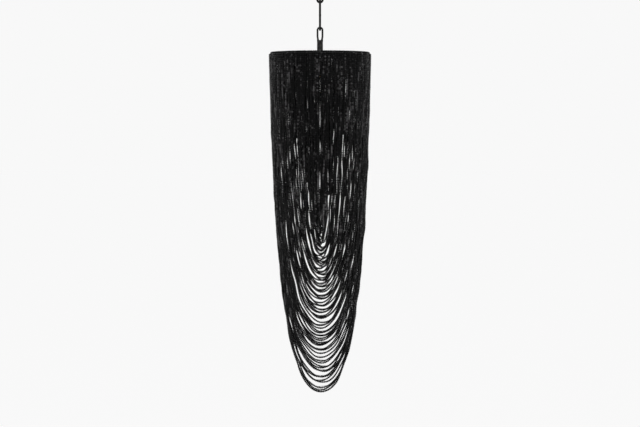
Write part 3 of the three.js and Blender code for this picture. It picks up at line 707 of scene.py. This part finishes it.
@dataclass
class Lamp:
    """The lampholder and the bulb in it."""

    shop: Workshop
    diameter: float = 38.0
    flange_diameter: float = 42.0
    flange_height: float = 4.0
    flange_edge: float = 0.5
    ring_diameter: float = 45.0
    ring_edge: float = 0.6
    neck: float = 9.0
    skirt: float = 9.0
    droop: float = 0.3
    wall: float = 2.4
    barrel_wall: float = 2.7
    ring_fit: float = 0.3
    ribs: int = 36
    rib_depth: float = 0.6
    ring_rib_depth: float = 0.7
    rib_start: float = 11.0
    rib_end: float = 2.0
    globe_radius: float = 30.0
    globe_turn: float = radians(115)
    neck_radius: float = 12.0
    neck_height: float = 8.0
    neck_ease: float = 0.45
    glass: float = 1.0
    cap_radius: float = 13.1
    cap_wall: float = 0.7
    cap_crown: float = 4.0
    tip_radius: float = 4.8
    thread_pitch: float = 3.6
    thread_depth: float = 0.5
    thread_ends: tuple[float, float] = (0.08, 0.98)
    stem_radius: float = 3.5
    stem_foot: tuple[float, float] = (3.0, 0.6)
    flare: float = 7.2
    flare_height: float = 3.2
    flare_rim: float = 1.6
    flare_power: float = 2.2
    filament_reach: float = 11.0
    filament_drop: float = 17.0
    filament_inset: float = 0.9
    runs: int = 7
    rod_radius: float = 0.85
    lead_radius: float = 0.4

    def holder(self) -> None:
        """Makes the cap, the ribbed barrel and the shade ring, and dresses what is inside them."""
        radius = self.diameter / 2
        low, high = ends_of("lampholder_cap")
        shoulder = low + self.skirt
        profile = [(ROD_HOLE / 2, high), (self.neck, high)]
        for step in range(1, 11):
            share = step / 10
            fall = share * (1 - self.droop) + share * share * self.droop
            profile.append((self.neck + (radius - self.neck) * share, high + (shoulder - high) * fall))
        inner, half = radius - self.wall, self.wall / 2
        profile += [(radius, low), (inner, low), (inner, shoulder - half)]
        profile += [(self.neck - half, high - self.wall), (ROD_HOLE / 2, high - self.wall)]
        self.shop.finish("holder_cap", turned(profile, 96), "pendant", PHENOLIC, "lampholder_cap")

        low, high = ends_of("lampholder_barrel")
        flange, bore, edge = self.flange_diameter / 2, radius - self.barrel_wall, self.flange_edge
        foot = low + self.flange_height
        profile = [(bore, low), (flange - edge, low), (flange, low + edge), (flange, foot - edge),
                   (flange - edge, foot), (radius, foot)]
        profile += [(radius, foot + (high - foot) * step / 10) for step in range(1, 11)]
        barrel = turned([*profile, (bore, high)], self.ribs * 4)
        grooved(barrel, low + self.rib_start, high - self.rib_end, (radius + bore) / 2, self.rib_depth,
                lambda angle, _: angle * self.ribs)
        self.shop.finish("holder_barrel", barrel, "pendant", PHENOLIC, "lampholder_barrel")

        low, high = ends_of("lampholder_shade_ring")
        outer, inner, edge = self.ring_diameter / 2, radius + self.ring_fit, self.ring_edge
        profile = [(inner, low), (outer - edge, low), (outer, low + edge), (outer, (low + high) / 2),
                   (outer, high - edge), (outer - edge, high), (inner, high)]
        ring = turned(profile, self.ribs * 4)
        grooved(ring, low + edge / 2, high - edge / 2, outer - edge / 2, self.ring_rib_depth,
                lambda angle, _: angle * self.ribs)
        self.shop.finish("holder_shade_ring", ring, "pendant", PHENOLIC, "lampholder_shade_ring")
        self.shop.dress(PORCELAIN, "lampholder_insert")
        self.shop.dress(BRASS, "lampholder_screw_shell", "lampholder_contact", "bulb_tip_contact")

    def envelope(self) -> None:
        """Makes the bulb's glass, a thin wall that is open at its neck."""
        low, high = ends_of("bulb_glass")
        centre, neck_low = low + self.globe_radius, high - self.neck_height
        walls = []
        for inset in (0.0, self.glass):
            radius, neck = self.globe_radius - inset, self.neck_radius - inset
            angles = [self.globe_turn * step / 24 - QUARTER for step in range(25)]
            wall = [(radius * cos(angle), centre + radius * sin(angle)) for angle in angles]
            wall[0] = (0.0, low + inset)
            wide, level = wall[-1]
            for step in range(1, 13):
                share = step / 12
                narrowing = share * (1 - self.neck_ease) + eased(share) * self.neck_ease
                wall.append((wide + (neck - wide) * narrowing, level + (neck_low - level) * share))
            walls.append([*wall, (neck, high)])
        shape = turned([*walls[0], *reversed(walls[1])], 64)
        self.shop.finish("bulb_envelope", shape, "bulb", GLASS, "bulb_glass")

    def screw_cap(self) -> None:
        """Makes the screw cap with its rolled thread."""
        low, high = ends_of("bulb_cap")
        span = high - self.cap_crown - low
        shell = [(self.cap_radius, low + span * step / 30) for step in range(31)]
        lining = [(self.cap_radius - self.cap_wall, z) for _, z in shell]
        under = high - self.cap_wall
        profile = [(0.0, high), (self.tip_radius, high), *reversed(shell), *lining,
                   (self.tip_radius, under), (0.0, under)]
        cap = turned(profile, 48)
        start, end = (low + share * span for share in self.thread_ends)
        grooved(cap, start, end, self.cap_radius - 2 * self.cap_wall, self.thread_depth,
                lambda angle, height: 2 * pi * height / self.thread_pitch - angle)
        self.shop.finish("bulb_screw_cap", cap, "bulb", BRASS, "bulb_cap", crease=50)

    def stem(self) -> None:
        """Makes the glass stem, which widens to a flare at its top."""
        low, high = ends_of("bulb_stem")
        foot, rise = self.stem_foot
        profile = [(0.0, low), (foot, low), (self.stem_radius, low + rise)]
        for step in range(11):
            share = step / 10
            profile.append((self.stem_radius + self.flare * share ** self.flare_power,
                            high - self.flare_rim - self.flare_height * (1 - share)))
        profile += [(self.stem_radius + self.flare, high), (0.0, high)]
        self.shop.finish("bulb_stem_glass", turned(profile, 40), "bulb", GLASS, "bulb_stem")

    def filament(self) -> None:
        """Makes the zigzag of phosphor rods round the stem."""
        level = ends_of("bulb_filament")[1] - self.filament_inset
        corners = [UP * level]
        for bend in range(1, self.runs + 1):
            angle = bend * pi / 4
            x, y = self.filament_reach * cos(angle), self.filament_reach * sin(angle)
            corners.append(Vector((x, y, level if bend % 2 else level - self.filament_drop)))
        points = []
        for first, second in zip(corners, corners[1:]):
            points += [first.lerp(second, step / 10) for step in range(10)]

        def radius(number: int) -> float:
            """A rod's radius along each run but the first, and thin wire at the corners."""
            return self.rod_radius if number > 10 and 2 <= number % 10 <= 8 else self.lead_radius

        shape = swept([*points, corners[-1]], radius, 8, False)
        self.shop.finish("bulb_filament_rods", shape, "bulb", PHOSPHOR, "bulb_filament")

    def build(self) -> None:
        """Makes the lampholder and the bulb."""
        self.holder()
        self.envelope()
        self.screw_cap()
        self.stem()
        self.filament()


@dataclass
class BeadCurtain:
    """The bead strands of both sets, with the bead rows along the ring that they hang from.

    A turn is an angle round the ring from where a set's span axis meets it.
    """

    shop: Workshop
    ring_z: float
    shade_diameter: float = 300.0
    bead: float = 5.2
    facet_allowance: float = 1.12
    facets: tuple[int, int] = (6, 4)
    size_spread: float = 0.02
    tilt: float = 0.05
    pitch: float = 5.05
    end_fit: float = 0.92
    thread: float = 1.0
    header: float = 5.4
    header_size: float = 0.98
    header_pitch: float = 0.95
    header_clear: float = 0.2
    header_samples: int = 60
    bundle_share: float = 0.94
    lean_share: float = 0.2
    sag_spread: float = 0.006
    interleave: float = 0.25
    deepest: float = 991.0
    seed: int = 121
    long_groups: int = 6
    cross_groups: int = 4
    groups_inside_arms: int = 3
    fullness: float = 0.15
    inner_fullness: float = 0.29
    inward_gain: float = 5.0
    samples: int = 500
    long_sag_curve: float = 0.75
    arm_header_gap: float = 0.6
    sway: float = 1.6
    skew: float = 3.5
    drift: float = 3.5
    wave: float = 1.6
    least_wave: float = 0.4
    wavelengths: tuple[float, float] = (95.0, 160.0)
    # Each bead's tone is partly random and partly a painted glint; stretch is the length of a painted run of
    # glinting beads.
    tone_level: float = 0.35
    tone_spread: float = 0.17
    stretch: int = 9
    glint_stretch_spread: float = 0.26
    tone_and_glint_power: int = 5

    def __post_init__(self) -> None:
        """Works out the radii and makes the one bead that is repeated."""
        self.wrap = BAR_DIAMETER / 2 + GAP + self.header / 2
        self.bar_radius = self.shade_diameter / 2 - self.bead / 2 - self.wrap
        shape = bmesh.new()
        around, down = self.facets
        bmesh.ops.create_uvsphere(shape, u_segments=around, v_segments=down, radius=self.facet_allowance)
        shape.verts.ensure_lookup_table()
        self.bead_points = np.array([vert.co for vert in shape.verts])
        self.bead_corners = np.array([vert.index for face in shape.faces for vert in face.verts])
        self.bead_totals = np.array([len(face.verts) for face in shape.faces])
        shape.free()

    def row_radius(self, kind: StrandSet) -> float:
        """The radius of the bead row along the ring that a set hangs from."""
        return self.bar_radius + kind.outward * self.wrap * cos(kind.elevation)

    def scale_of(self, half_span: float, sag: float) -> float:
        """Finds a catenary's scale by halving.

        Args:
            half_span: The distance between its ends and its middle.
            sag: How far it hangs under its ends.

        Returns:
            The scale.
        """
        low, high = 1e-3, 20.0
        for _ in range(60):
            turn = (low + high) / 2
            if (cosh(turn) - 1) / turn < sag / half_span:
                low = turn
            else:
                high = turn
        return half_span / high

    def wrapped(self, turn: float, sag: float, kind: StrandSet) -> np.ndarray:
        """The points of a strand round the bar, from its bead row to where it leaves the bar.

        Args:
            turn: The turn at which it crosses the bar.
            sag: How far its lowest point lies under the ring's level.
            kind: Its set.

        Returns:
            The points, one a row.
        """
        angle = kind.ring_angle(turn)
        out = np.array([cos(angle), sin(angle), 0.0])
        span = (self.bar_radius + kind.outward * self.wrap) * out[kind.axis]
        leaving = QUARTER - atan(sinh(span / self.scale_of(span, sag)))
        lifts = np.linspace(kind.elevation, leaving, 6)[:, None]
        reach = self.bar_radius + kind.outward * self.wrap * np.cos(lifts)
        return out * reach + UP_ROW * (self.ring_z + self.wrap * np.sin(lifts))

    def route(self, near: float, far: float, sag: float, side: Side, chance: np.random.RandomState
              ) -> np.ndarray:
        """The middle line of one strand, from bead row to bead row, with the looseness of a real one.

        Args:
            near: The turn at which its near end crosses the bar.
            far: The turn of its far end.
            sag: How far its lowest point lies under the ring's level.
            side: The half of the ring that it starts from.
            chance: The seeded source of its sway, skew and waves.

        Returns:
            Its points, one a row.
        """
        kind = side.kind
        start_wrap = self.wrapped(near, sag, kind)
        end_wrap = self.wrapped(far, sag, kind)[::-1]
        end_wrap[:, kind.axis] *= -1
        middle = (start_wrap[-1] + end_wrap[0]) / 2
        reach = start_wrap[-1] - middle
        half_span = reach[kind.axis]
        depth = sag + middle[2] - self.ring_z
        scale = self.scale_of(half_span, depth)
        steep = sinh(half_span / scale)
        share = scale * np.arcsinh(np.linspace(steep, -steep, self.samples)) / half_span
        fullness = self.fullness
        if kind is LONG:
            inwards = min(1.0, self.inward_gain * sin(min(near, far)))
            fullness += (self.inner_fullness - self.fullness) * inwards
        hang = middle + reach * (share + fullness * share**3 * (1 - share**2))[:, None]
        hang[:, 2] += scale * (np.cosh(half_span * share / scale) - 1) - depth
        sway, skew = (float(np.clip(chance.normal(0, size), -2 * size, 2 * size))
                      for size in (self.sway, self.skew))
        if kind is LONG:
            skew += self.drift * cos(side.turn)
        hang[:, kind.axis] += skew * (1 - share**2)
        hang[:, 1 - kind.axis] += sway * (1 - share**4)
        along = np.linspace(0, 1, len(share))
        length = 2 * scale * steep
        for column in (0, 1):
            for wavelength in self.wavelengths:
                size = self.wave * chance.uniform(self.least_wave, 1.0)
                phase = 2 * pi * (chance.uniform() + along * length / wavelength)
                hang[:, column] += size * np.sin(phase) * np.sin(pi * along) ** 0.5
        return np.vstack([start_wrap[:-1], hang, end_wrap[1:]])

    def spots(self, route: np.ndarray, clear: float, pitch: float) -> tuple[np.ndarray, np.ndarray]:
        """Places for beads along a route.

        Args:
            route: The route's points.
            clear: The length that stays free at both ends.
            pitch: The length that a bead takes.

        Returns:
            The beads' middles and the directions of their holes.
        """
        steps = np.linalg.norm(np.diff(route, axis=0), axis=1)
        length = np.concatenate([[0], np.cumsum(steps)])
        count = int(round((length[-1] - 2 * clear) / pitch))
        where = clear + (np.arange(count) + 0.5) * (length[-1] - 2 * clear) / count
        middles, ahead, behind = (
            np.stack([np.interp(where + shift, length, route[:, column]) for column in range(3)], 1)
            for shift in (0, pitch / 2, -pitch / 2)
        )
        along = ahead - behind
        return middles, along / np.linalg.norm(along, axis=1, keepdims=True)

    def header_route(self, start: float, end: float, kind: StrandSet) -> np.ndarray:
        """The middle line of a stretch of the bead row along the ring.

        Args:
            start: The ring's angle at its start.
            end: The ring's angle at its end.
            kind: The set whose strands start from it.

        Returns:
            Its points, one a row.
        """
        radius = self.row_radius(kind)
        angles = np.linspace(start, end, self.header_samples)
        height = np.full_like(angles, self.ring_z + self.wrap * sin(kind.elevation))
        return np.stack([radius * np.cos(angles), radius * np.sin(angles), height], 1)

    def bead_mesh(self, name: str, middles: np.ndarray, along: np.ndarray, sizes: np.ndarray,
                  chance: np.random.RandomState) -> bpy.types.Mesh:
        """Repeats the bead at every place.

        Args:
            name: The mesh's name.
            middles: The beads' middles.
            along: The directions of their holes.
            sizes: Their diameters.
            chance: The seeded source of each bead's turn, tilt, tone and painted glint.

        Returns:
            One mesh of all the beads, with a tone for each that is partly random and partly a painted glint.
        """
        count = len(middles)
        tilt = along + chance.normal(0, self.tilt, (count, 3))
        tilt /= np.linalg.norm(tilt, axis=1, keepdims=True)
        sideways = np.cross(tilt, chance.normal(0, 1, (count, 3)))
        sideways /= np.linalg.norm(sideways, axis=1, keepdims=True)
        third = np.cross(tilt, sideways)
        basis = np.stack([sideways, third, tilt], 2) * (sizes[:, None, None] / 2)
        points = (np.einsum("nij,pj->npi", basis, self.bead_points) + middles[:, None, :]) * MM
        shift = np.arange(count)[:, None] * len(self.bead_points)
        mesh = bpy.data.meshes.new(name)
        mesh.vertices.add(points.shape[0] * points.shape[1])
        mesh.vertices.foreach_set("co", points.ravel())
        mesh.loops.add(count * len(self.bead_corners))
        mesh.loops.foreach_set("vertex_index", (self.bead_corners + shift).ravel())
        every = np.tile(self.bead_totals, count)
        mesh.polygons.add(len(every))
        mesh.polygons.foreach_set("loop_start", np.concatenate([[0], np.cumsum(every)[:-1]]))
        mesh.polygons.foreach_set("loop_total", every)
        # Painted glints: the power leaves most beads black and lifts a few, and the runs lighten short
        # stretches of beads as if a row caught the light.
        tone = mesh.attributes.new("bead_tone_and_glint", "FLOAT", "POINT")
        draws = chance.normal(0, 1, count)
        stretches = np.convolve(draws, np.ones(self.stretch) / sqrt(self.stretch), "same")
        light = self.tone_level + self.tone_spread * draws + self.glint_stretch_spread * stretches
        tones_and_glints = np.clip(light, 0, 1) ** self.tone_and_glint_power
        tone.data.foreach_set("value", np.repeat(tones_and_glints, len(self.bead_points)))
        mesh.update(calc_edges=True)
        return mesh

    def group(self, side: Side, index: int, start: float, end: float,
              sag_at: Callable[[float], float]) -> None:
        """Makes one group of neighbouring strands with its stretches of the bead row.

        Args:
            side: The half of the ring that it starts from.
            index: Its place in the run, from 0.
            start: The turn at which its arc of the ring starts.
            end: The turn at which it ends.
            sag_at: The sag of an even strand at a turn.
        """
        kind = side.kind
        name = f"{side.stem}_{index + 1}"
        chance = np.random.RandomState(100 * list(Side).index(side) + index + self.seed)
        turn = np.diag([cos(side.turn), cos(side.turn), 1.0])
        step = (end - start) / len(side.shares)
        rows = []
        threads = bmesh.new()
        for number, share in enumerate(side.shares):
            place = (start + end) / 2 + (number + 0.5 - len(side.shares) / 2) * step * self.bundle_share
            lean = self.lean_share * step
            even = sag_at(place + self.interleave * step * cos(side.turn))
            sag = min(self.deepest, even * (1 + self.sag_spread * (share + side.group_shares[index])))
            route = self.route(place + lean, place - lean, sag, side, chance) @ turn
            spots = self.spots(route, (self.header + self.bead) / 2 * self.end_fit, self.pitch)
            most = 2 * self.size_spread
            spread = np.clip(chance.normal(0, self.size_spread, len(spots[0])), -most, most)
            rows.append((*spots, self.bead * (1 + spread)))
            line = [Vector(point) for point in (*route[:5:2], *route[8:-8:9], *route[-5::2])]
            joined(threads, swept(line, lambda _: self.thread / 2, 4, False))
        free = asin(GAP / self.row_radius(kind))
        for sign in (1, -1):
            angles = [kind.ring_angle(place) for place in (start + free, end - free)]
            if sign < 0:
                angles = [pi - angle if kind is LONG else -angle for angle in angles]
            route = self.header_route(*angles, kind) @ turn
            spots = self.spots(route, self.header_clear, self.header * self.header_pitch)
            rows.append((*spots, np.full(len(spots[0]), self.header * self.header_size)))
        beads, cords = f"{name}_beads", f"{name}_threads"
        mesh = self.bead_mesh(beads, *map(np.concatenate, zip(*rows)), chance)
        self.shop.show(beads, mesh, "pendant", BEAD, name)
        self.shop.show(cords, mesh_of(cords, threads), "pendant", THREAD)

    def build_long(self) -> None:
        """Makes the long strands, which span the ring from left to right."""
        arc_width = QUARTER / self.long_groups

        def sag_at(turn: float) -> float:
            """An even strand's sag, which falls with the turn."""
            return LONG.sag_at((turn / QUARTER) ** self.long_sag_curve)

        for side in (Side.BACK, Side.FRONT):
            for index in range(self.long_groups):
                self.group(side, index, index * arc_width, (index + 1) * arc_width, sag_at)

    def build_cross(self) -> None:
        """Makes the cross strands, which hang inside the long ones from front to back."""
        arm = asin((ARM_DIAMETER / 2 + self.arm_header_gap) / self.row_radius(CROSS))
        arc_width = (QUARTER / 2 - arm) / self.groups_inside_arms
        last = self.cross_groups * arc_width + 2 * arm

        def sag_at(turn: float) -> float:
            """An even strand's sag, which falls with how far it hangs from the middle."""
            return CROSS.sag_at(sin(turn) / sin(last))

        for side in (Side.RIGHT, Side.LEFT):
            for index in range(self.cross_groups):
                start = index * arc_width + (2 * arm if index >= self.groups_inside_arms else 0.0)
                self.group(side, index, start, start + arc_width, sag_at)

    def build(self) -> None:
        """Makes both sets of strands."""
        self.build_long()
        self.build_cross()


def grey(level: float) -> tuple[float, float, float, float]:
    """An opaque grey."""
    return (level, level, level, 1.0)


@dataclass
class Studio:
    """The pale floor, the soft lamps, the world and the camera at the photograph's angle, in metres."""

    ring_level: float
    background: float = 0.939
    ambient: float = 0.62
    shadow_share: float = 0.25
    floor_drop: float = 2.3
    floor_reach: float = 60.0
    floor_light: float = 0.8
    distance: float = 4.8
    camera_drop: float = 0.188
    target_drop: float = 0.4635
    lens: float = 91.95
    sensor: float = 36.0
    sight: float = 200.0

    def pale(self, nodes: Nodes, shown: Socket, plain: Socket) -> Socket:
        """Shows one shader to the camera and in gloss and glass, and another to all other light.

        Args:
            nodes: The nodes to add to.
            shown: The shader that is seen.
            plain: The shader that lights the object.

        Returns:
            The mixed shader's socket.
        """
        path = nodes.add("LightPath", {})
        seen = sum(Value(nodes, path.outputs[f"Is {kind} Ray"])
                   for kind in ("Camera", "Glossy", "Transmission"))
        return nodes.add("MixShader", {0: seen > 0.5, 1: plain, 2: shown}).outputs[0]

    def world(self) -> None:
        """Lights all sides evenly and shows the background's own tone."""
        world = bpy.data.worlds.new("studio")
        bpy.context.scene.world = world
        nodes = Nodes(world)
        shown, soft = (
            nodes.add("Background", {"Color": grey(self.background), "Strength": strength}).outputs[0]
            for strength in (1.0, self.ambient)
        )
        nodes.add("OutputWorld", {"Surface": self.pale(nodes, shown, soft)})

    def floor(self) -> None:
        """Lays a floor of the background's tone that takes the object's shadow and is clear from below."""
        shape = bmesh.new()
        bmesh.ops.create_grid(shape, x_segments=2, y_segments=2, size=self.floor_reach,
                              matrix=Matrix.Translation((0, 0, self.ring_level - self.floor_drop)))
        floor = placed("floor", mesh_of("floor", shape))
        material = bpy.data.materials.new("pale_floor")
        nodes = Nodes(material)
        lit = self.shadow_share * self.background * self.ambient
        plain, catching = (
            nodes.add("BsdfDiffuse", {"Color": grey(level)}).outputs[0]
            for level in (self.floor_light, self.shadow_share)
        )
        even = nodes.add("Emission", {"Color": grey(self.background - lit), "Strength": 1.0}).outputs[0]
        shown = nodes.add("AddShader", {0: even, 1: catching}).outputs[0]
        above = self.pale(nodes, shown, plain)
        clear = nodes.add("BsdfTransparent", {}).outputs[0]
        under = nodes.add("NewGeometry", {}).outputs["Backfacing"]
        both = nodes.add("MixShader", {0: under, 1: above, 2: clear}).outputs[0]
        nodes.add("OutputMaterial", {"Surface": both})
        floor.data.materials.append(material)

    @property
    def target(self) -> Vector:
        """The point that the camera and the lamps face."""
        return UP * (self.ring_level - self.target_drop)

    def lamp(self, name: str, place: Vector, size: float, power: float) -> None:
        """Hangs one square lamp that faces the shade's middle.

        Args:
            name: Its name.
            place: Where it hangs, in metres.
            size: Its width in metres.
            power: Its power in watts.
        """
        data = bpy.data.lights.new(name, "AREA")
        data.shape = "SQUARE"
        data.size = size
        data.energy = power
        lamp = placed(name, data)
        lamp.location = place
        lamp.rotation_euler = (self.target - place).to_track_quat("-Z", "Y").to_euler()

    def camera(self) -> None:
        """Stands the camera where the photograph was taken."""
        data = bpy.data.cameras.new("camera")
        data.lens = self.lens
        data.sensor_width = self.sensor
        data.clip_end = self.sight
        camera = placed("camera", data)
        camera.location = (0, -self.distance, self.ring_level - self.camera_drop)
        aim = self.target - camera.location
        camera.rotation_euler = aim.to_track_quat("-Z", "Y").to_euler()
        bpy.context.scene.camera = camera

    def build(self) -> None:
        """Sets up the whole studio."""
        self.world()
        self.floor()
        self.lamp("key_lamp", Vector((-2.4, -3.0, self.ring_level + 1.5)), size=1.6, power=55)
        self.lamp("fill_lamp", Vector((2.8, -2.2, self.ring_level + 0.7)), size=2.0, power=25)
        self.camera()
        bpy.context.scene.view_settings.view_transform = "Standard"


def main() -> None:
    """Builds the chandelier and its studio."""
    logging.basicConfig(level=logging.INFO, format="%(name)s: %(message)s")
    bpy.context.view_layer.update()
    shop = Workshop(Paints())
    curtain = BeadCurtain(shop, sum(ends_of("spider_hub")) / 2)
    spider = Spider(shop, curtain.bar_radius, curtain.ring_z)
    for part in (Rose(shop), Chain(shop), spider, Lamp(shop), curtain, Studio(curtain.ring_z * MM)):
        part.build()
        log.info("%s is built", type(part).__name__)


if __name__ == "__main__":
    main()
